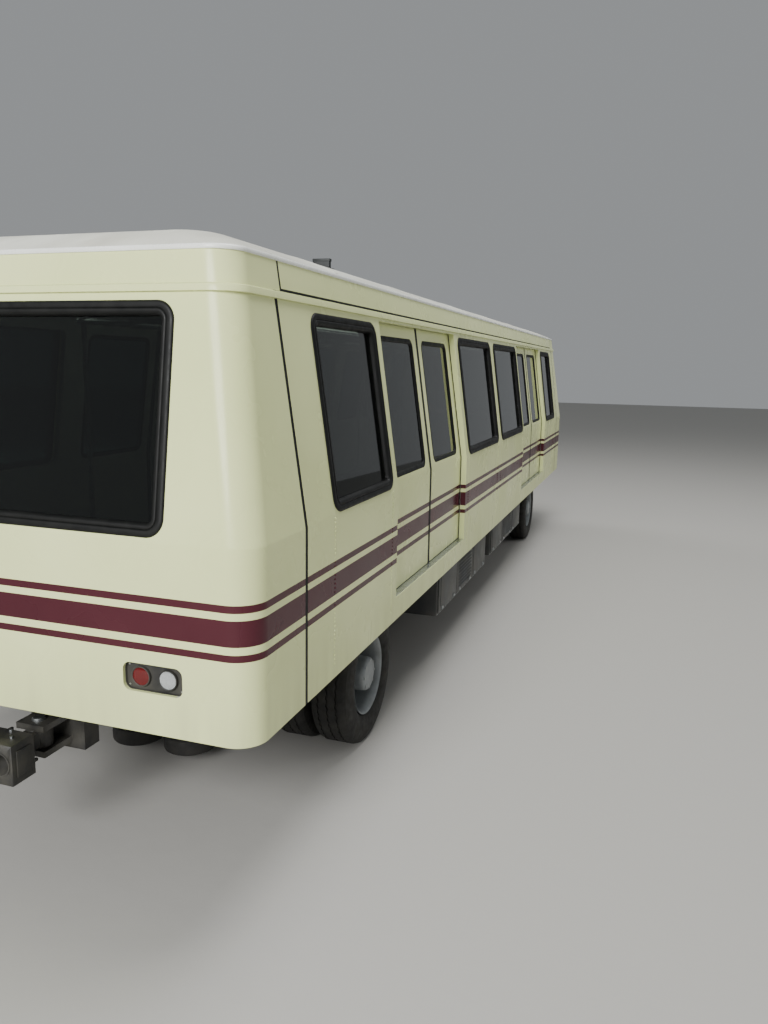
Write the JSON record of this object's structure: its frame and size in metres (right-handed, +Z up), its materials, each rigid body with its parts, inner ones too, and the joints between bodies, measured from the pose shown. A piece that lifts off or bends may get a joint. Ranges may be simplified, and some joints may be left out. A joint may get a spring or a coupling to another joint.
{
  "type": "automated people mover car",
  "caption": "Driverless rubber-tyred transit car with moulded ends, leaning glazed walls, bi-parting sliding doors, steered guided bogies and swinging couplers.",
  "frame": {"origin": "on the running surface, under the middle of the car", "axes": "+X along the car towards its front end, +Y to its left side, +Z up"},
  "size_m": [12.12, 2.8614, 3.405],
  "materials": {
    "ivory_paint": "gloss ivory enamel with three maroon bands",
    "roof_paint": "semi-gloss pale paint",
    "black_paint": "satin black chassis paint",
    "tinted_glass": "tinted safety glass",
    "tyre_rubber": "black tyre rubber",
    "guide_rubber": "solid black rubber tread",
    "rim_steel": "grey painted steel",
    "floor_covering": "grey speckled rubber flooring",
    "seat_shell": "moulded blue-grey seat shell",
    "rail_steel": "brushed stainless tube"
  },
  "bodies": {
    "car_body": {"side_wall_left": "ivory_paint", "window_rear_end_left": "tinted_glass", "window_rear_mid_left": "tinted_glass", "window_front_mid_left": "tinted_glass", "window_front_end_left": "tinted_glass", "side_wall_right": "ivory_paint", "window_rear_end_right": "tinted_glass", "window_rear_mid_right": "tinted_glass", "window_front_mid_right": "tinted_glass", "window_front_end_right": "tinted_glass", "end_cap_front": "ivory_paint", "windscreen_front": "tinted_glass", "bench_front": "seat_shell", "roof_box_front": "black_paint", "end_cap_rear": "ivory_paint", "windscreen_rear": "tinted_glass", "bench_rear": "seat_shell", "roof_box_rear": "black_paint", "roof": "roof_paint", "floor_deck": "floor_covering", "underframe": "black_paint", "equipment_cases": "black_paint", "handrails": "rail_steel"},
    "leaf_front_left_outer": {"door_front_left_outer": "ivory_paint", "door_glass_front_left_outer": "tinted_glass"},
    "leaf_front_left_inner": {"door_front_left_inner": "ivory_paint", "door_glass_front_left_inner": "tinted_glass"},
    "leaf_front_right_outer": {"door_front_right_outer": "ivory_paint", "door_glass_front_right_outer": "tinted_glass"},
    "leaf_front_right_inner": {"door_front_right_inner": "ivory_paint", "door_glass_front_right_inner": "tinted_glass"},
    "leaf_rear_left_outer": {"door_rear_left_outer": "ivory_paint", "door_glass_rear_left_outer": "tinted_glass"},
    "leaf_rear_left_inner": {"door_rear_left_inner": "ivory_paint", "door_glass_rear_left_inner": "tinted_glass"},
    "leaf_rear_right_outer": {"door_rear_right_outer": "ivory_paint", "door_glass_rear_right_outer": "tinted_glass"},
    "leaf_rear_right_inner": {"door_rear_right_inner": "ivory_paint", "door_glass_rear_right_inner": "tinted_glass"},
    "bogie_front": {"bogie_frame_front": "black_paint"},
    "wheel_front_left": {"tyres_front_left": "tyre_rubber", "hub_front_left": "rim_steel"},
    "wheel_front_right": {"tyres_front_right": "tyre_rubber", "hub_front_right": "rim_steel"},
    "guide_front_lead_left": {"guide_wheel_front_lead_left": "guide_rubber"},
    "guide_front_lead_right": {"guide_wheel_front_lead_right": "guide_rubber"},
    "guide_front_trail_left": {"guide_wheel_front_trail_left": "guide_rubber"},
    "guide_front_trail_right": {"guide_wheel_front_trail_right": "guide_rubber"},
    "coupling_front": {"coupler_front": "black_paint"},
    "bogie_rear": {"bogie_frame_rear": "black_paint"},
    "wheel_rear_left": {"tyres_rear_left": "tyre_rubber", "hub_rear_left": "rim_steel"},
    "wheel_rear_right": {"tyres_rear_right": "tyre_rubber", "hub_rear_right": "rim_steel"},
    "guide_rear_lead_left": {"guide_wheel_rear_lead_left": "guide_rubber"},
    "guide_rear_lead_right": {"guide_wheel_rear_lead_right": "guide_rubber"},
    "guide_rear_trail_left": {"guide_wheel_rear_trail_left": "guide_rubber"},
    "guide_rear_trail_right": {"guide_wheel_rear_trail_right": "guide_rubber"},
    "coupling_rear": {"coupler_rear": "black_paint"}
  },
  "joints": [
    {"name": "slide_front_left_outer", "type": "slide", "parent": "car_body", "child": "leaf_front_left_outer", "axis": [1, 0, 0], "range_m": [0, 1]},
    {"name": "slide_front_left_inner", "type": "slide", "parent": "car_body", "child": "leaf_front_left_inner", "axis": [-1, 0, 0], "range_m": [0, 1]},
    {"name": "slide_front_right_outer", "type": "slide", "parent": "car_body", "child": "leaf_front_right_outer", "axis": [1, 0, 0], "range_m": [0, 1]},
    {"name": "slide_front_right_inner", "type": "slide", "parent": "car_body", "child": "leaf_front_right_inner", "axis": [-1, 0, 0], "range_m": [0, 1]},
    {"name": "slide_rear_left_outer", "type": "slide", "parent": "car_body", "child": "leaf_rear_left_outer", "axis": [-1, 0, 0], "range_m": [0, 1]},
    {"name": "slide_rear_left_inner", "type": "slide", "parent": "car_body", "child": "leaf_rear_left_inner", "axis": [1, 0, 0], "range_m": [0, 1]},
    {"name": "slide_rear_right_outer", "type": "slide", "parent": "car_body", "child": "leaf_rear_right_outer", "axis": [-1, 0, 0], "range_m": [0, 1]},
    {"name": "slide_rear_right_inner", "type": "slide", "parent": "car_body", "child": "leaf_rear_right_inner", "axis": [1, 0, 0], "range_m": [0, 1]},
    {"name": "steer_front", "type": "hinge", "parent": "car_body", "child": "bogie_front", "pos_m": [3.8, 0, 0.9], "axis": [0, 0, 1], "range_deg": [-8, 8]},
    {"name": "roll_front_left", "type": "hinge", "parent": "bogie_front", "child": "wheel_front_left", "pos_m": [3.8, 0.94, 0.5], "axis": [0, 1, 0], "continuous": true},
    {"name": "roll_front_right", "type": "hinge", "parent": "bogie_front", "child": "wheel_front_right", "pos_m": [3.8, -0.94, 0.5], "axis": [0, 1, 0], "continuous": true},
    {"name": "spin_front_lead_left", "type": "hinge", "parent": "bogie_front", "child": "guide_front_lead_left", "pos_m": [4.56, 0.205, 0.2], "axis": [0, 0, 1], "continuous": true},
    {"name": "spin_front_lead_right", "type": "hinge", "parent": "bogie_front", "child": "guide_front_lead_right", "pos_m": [4.56, -0.205, 0.2], "axis": [0, 0, 1], "continuous": true},
    {"name": "spin_front_trail_left", "type": "hinge", "parent": "bogie_front", "child": "guide_front_trail_left", "pos_m": [3.04, 0.205, 0.2], "axis": [0, 0, 1], "continuous": true},
    {"name": "spin_front_trail_right", "type": "hinge", "parent": "bogie_front", "child": "guide_front_trail_right", "pos_m": [3.04, -0.205, 0.2], "axis": [0, 0, 1], "continuous": true},
    {"name": "swing_front", "type": "hinge", "parent": "car_body", "child": "coupling_front", "pos_m": [5.72, 0, 0.685], "axis": [0, 0, 1], "range_deg": [-12, 12]},
    {"name": "steer_rear", "type": "hinge", "parent": "car_body", "child": "bogie_rear", "pos_m": [-3.8, 0, 0.9], "axis": [0, 0, 1], "range_deg": [-8, 8]},
    {"name": "roll_rear_left", "type": "hinge", "parent": "bogie_rear", "child": "wheel_rear_left", "pos_m": [-3.8, 0.94, 0.5], "axis": [0, 1, 0], "continuous": true},
    {"name": "roll_rear_right", "type": "hinge", "parent": "bogie_rear", "child": "wheel_rear_right", "pos_m": [-3.8, -0.94, 0.5], "axis": [0, 1, 0], "continuous": true},
    {"name": "spin_rear_lead_left", "type": "hinge", "parent": "bogie_rear", "child": "guide_rear_lead_left", "pos_m": [-4.56, 0.205, 0.2], "axis": [0, 0, 1], "continuous": true},
    {"name": "spin_rear_lead_right", "type": "hinge", "parent": "bogie_rear", "child": "guide_rear_lead_right", "pos_m": [-4.56, -0.205, 0.2], "axis": [0, 0, 1], "continuous": true},
    {"name": "spin_rear_trail_left", "type": "hinge", "parent": "bogie_rear", "child": "guide_rear_trail_left", "pos_m": [-3.04, 0.205, 0.2], "axis": [0, 0, 1], "continuous": true},
    {"name": "spin_rear_trail_right", "type": "hinge", "parent": "bogie_rear", "child": "guide_rear_trail_right", "pos_m": [-3.04, -0.205, 0.2], "axis": [0, 0, 1], "continuous": true},
    {"name": "swing_rear", "type": "hinge", "parent": "car_body", "child": "coupling_rear", "pos_m": [-5.72, 0, 0.685], "axis": [0, 0, 1], "range_deg": [-12, 12]}
  ],
  "couplings": [
    {"joint": "slide_front_left_inner", "follows": "slide_front_left_outer", "ratio": 1},
    {"joint": "slide_front_right_inner", "follows": "slide_front_right_outer", "ratio": 1},
    {"joint": "slide_rear_left_inner", "follows": "slide_rear_left_outer", "ratio": 1},
    {"joint": "slide_rear_right_inner", "follows": "slide_rear_right_outer", "ratio": 1}
  ]
}
